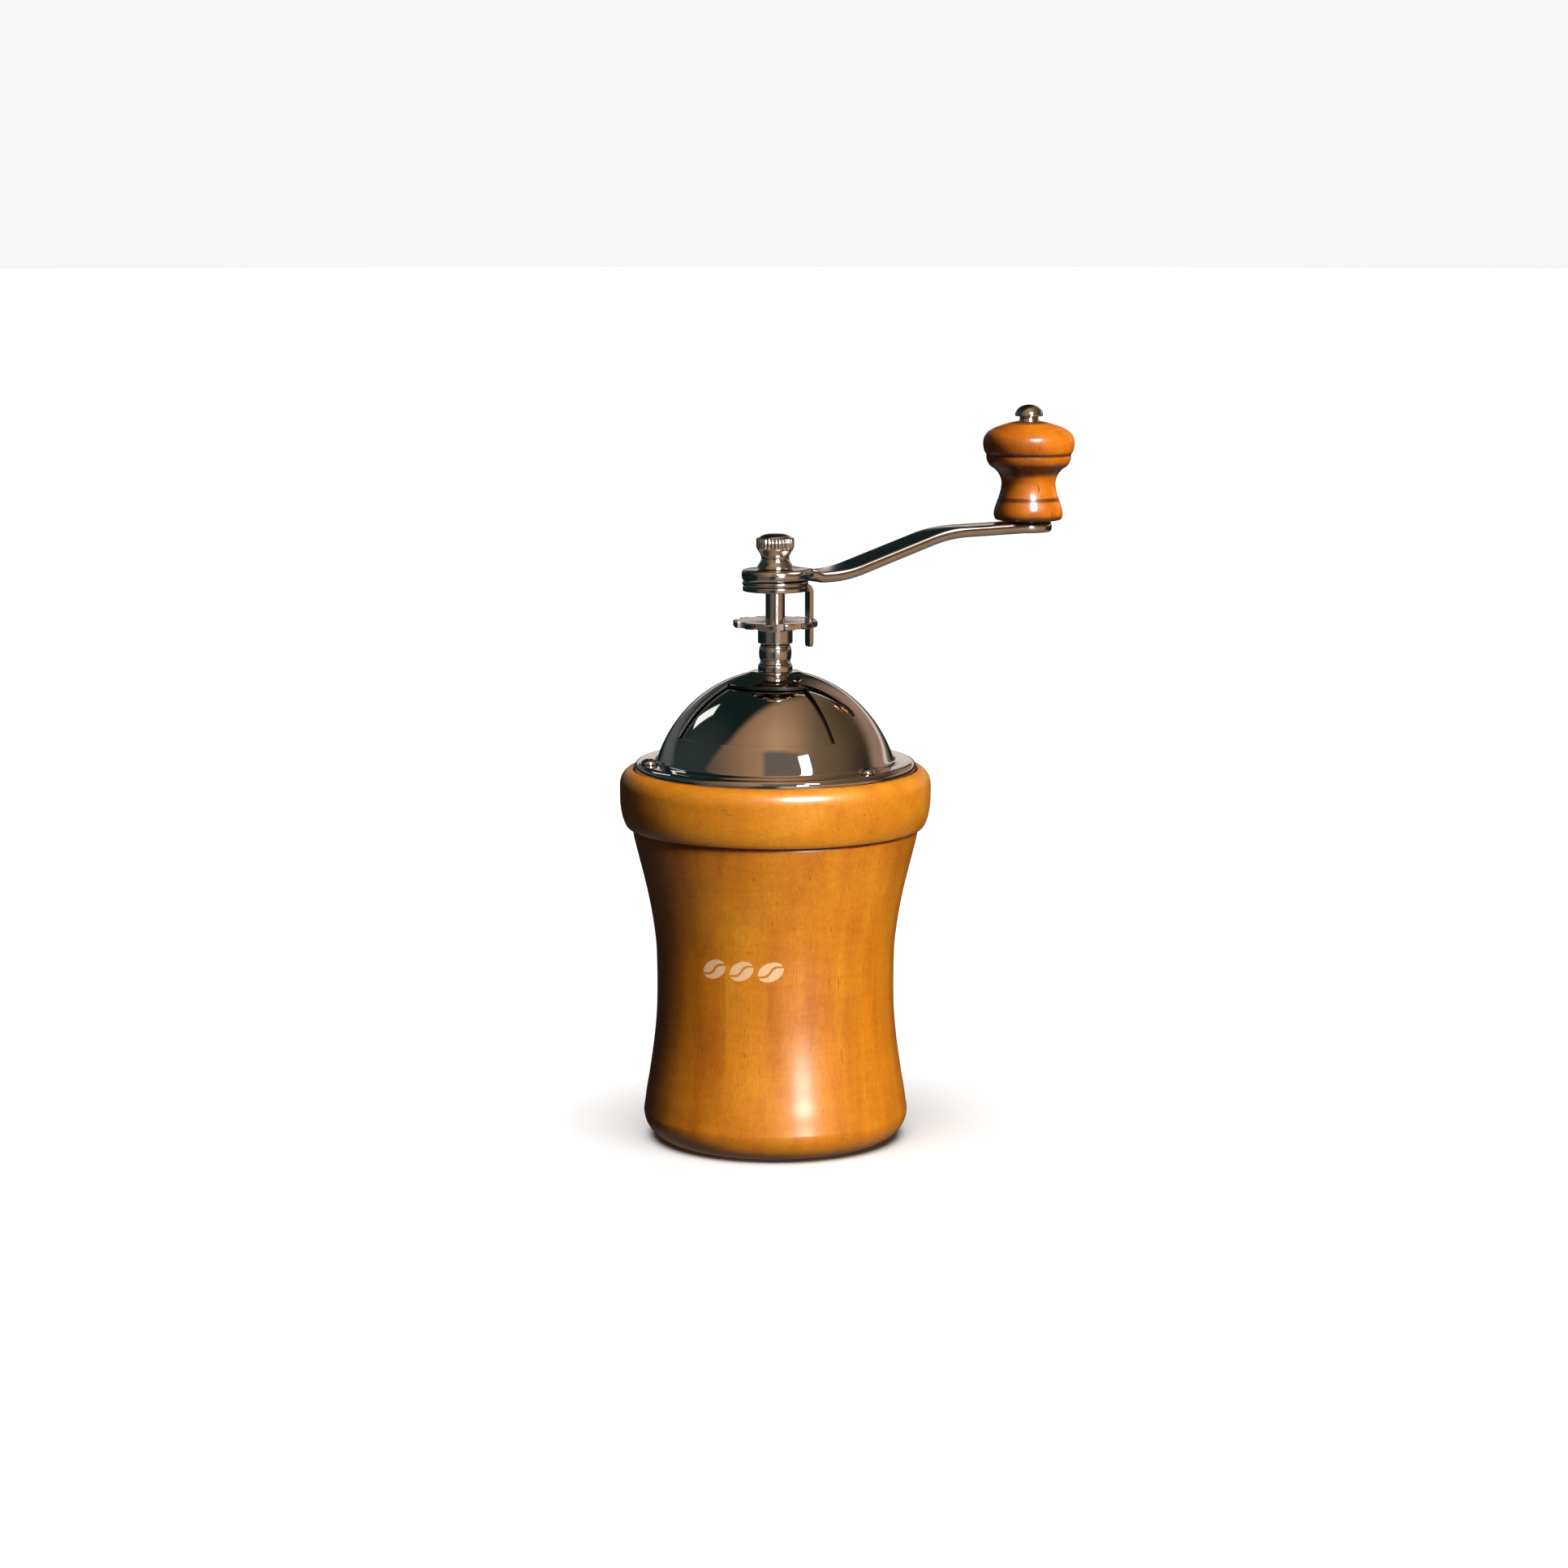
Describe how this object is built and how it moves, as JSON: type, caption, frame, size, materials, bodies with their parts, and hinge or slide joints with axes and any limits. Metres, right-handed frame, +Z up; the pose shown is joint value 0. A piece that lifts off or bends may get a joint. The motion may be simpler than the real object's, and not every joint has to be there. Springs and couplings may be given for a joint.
{
  "type": "burr coffee grinder",
  "caption": "Hand-cranked conical burr coffee grinder: a waisted wooden jar under a lift-off wooden collar with a polished steel dome, a sliding filler door and a knobbed crank.",
  "frame": {"origin": "on the shaft axis at the flat underside of the jar", "axes": "+Z up along the shaft axis; -Y towards the front, the middle of the filler door; +X to the right seen from the front"},
  "size_m": [0.1204, 0.1371, 0.2171],
  "materials": {
    "body_wood": "gloss varnish, vertical grain",
    "collar_wood": "gloss varnish, level grain",
    "knob_wood": "gloss varnish",
    "dome_chrome": "mirror polish",
    "nickel": "polished nickel plate",
    "plated_steel": "dull plate",
    "burr_iron": "hardened, as cast",
    "nylon": "moulded"
  },
  "bodies": {
    "jar": {"wooden_jar": "body_wood"},
    "head": {"wooden_collar": "collar_wood", "dome_shell": "dome_chrome", "hopper_funnel": "plated_steel", "flange_screw_left": "nickel", "flange_screw_right": "nickel", "flange_screw_back": "nickel", "burr_holder": "plated_steel", "holder_rivet_1": "plated_steel", "holder_rivet_2": "plated_steel", "holder_rivet_3": "plated_steel", "lower_bush": "nylon", "top_bearing": "nickel", "bearing_nut": "plated_steel", "outer_burr": "burr_iron", "burr_spring": "plated_steel"},
    "door": {"sliding_door": "dome_chrome"},
    "adjuster": {"adjusting_nut": "nickel"},
    "drive": {"main_shaft": "nickel", "inner_burr": "burr_iron", "spring_washer": "plated_steel", "burr_washer": "plated_steel", "burr_nut": "plated_steel"},
    "lock": {"stopper": "nickel", "hub_washer": "nickel"},
    "crank": {"crank_arm": "nickel", "knob_spindle": "nickel", "knob_washer": "nylon"},
    "cap": {"cap_nut": "nickel"},
    "knob": {"wooden_knob": "knob_wood"}
  },
  "joints": [
    {"name": "head_lift", "type": "slide", "parent": "jar", "child": "head", "axis": [0, 0, 1], "range_m": [0, 0.1]},
    {"name": "door_slide", "type": "hinge", "parent": "head", "child": "door", "pos_m": [0, 0, 0.135], "axis": [0, 0, 1], "range_deg": [0, 95]},
    {"name": "crank_turn", "type": "hinge", "parent": "head", "child": "adjuster", "pos_m": [0, 0, 0.15], "axis": [0, 0, 1], "continuous": true},
    {"name": "grind_adjust", "type": "slide", "parent": "adjuster", "child": "drive", "axis": [0, 0, 1], "range_m": [-0.0012, 0], "deforming": ["burr_spring"]},
    {"name": "stopper_lift", "type": "slide", "parent": "drive", "child": "lock", "axis": [0, 0, 1], "range_m": [0, 0.02]},
    {"name": "crank_lift", "type": "slide", "parent": "lock", "child": "crank", "axis": [0, 0, 1], "range_m": [0, 0.02]},
    {"name": "cap_lift", "type": "slide", "parent": "crank", "child": "cap", "axis": [0, 0, 1], "range_m": [0, 0.015]},
    {"name": "knob_spin", "type": "hinge", "parent": "crank", "child": "knob", "pos_m": [0.05972, 0.07644, 0.197], "axis": [0, 0, 1], "continuous": true}
  ]
}
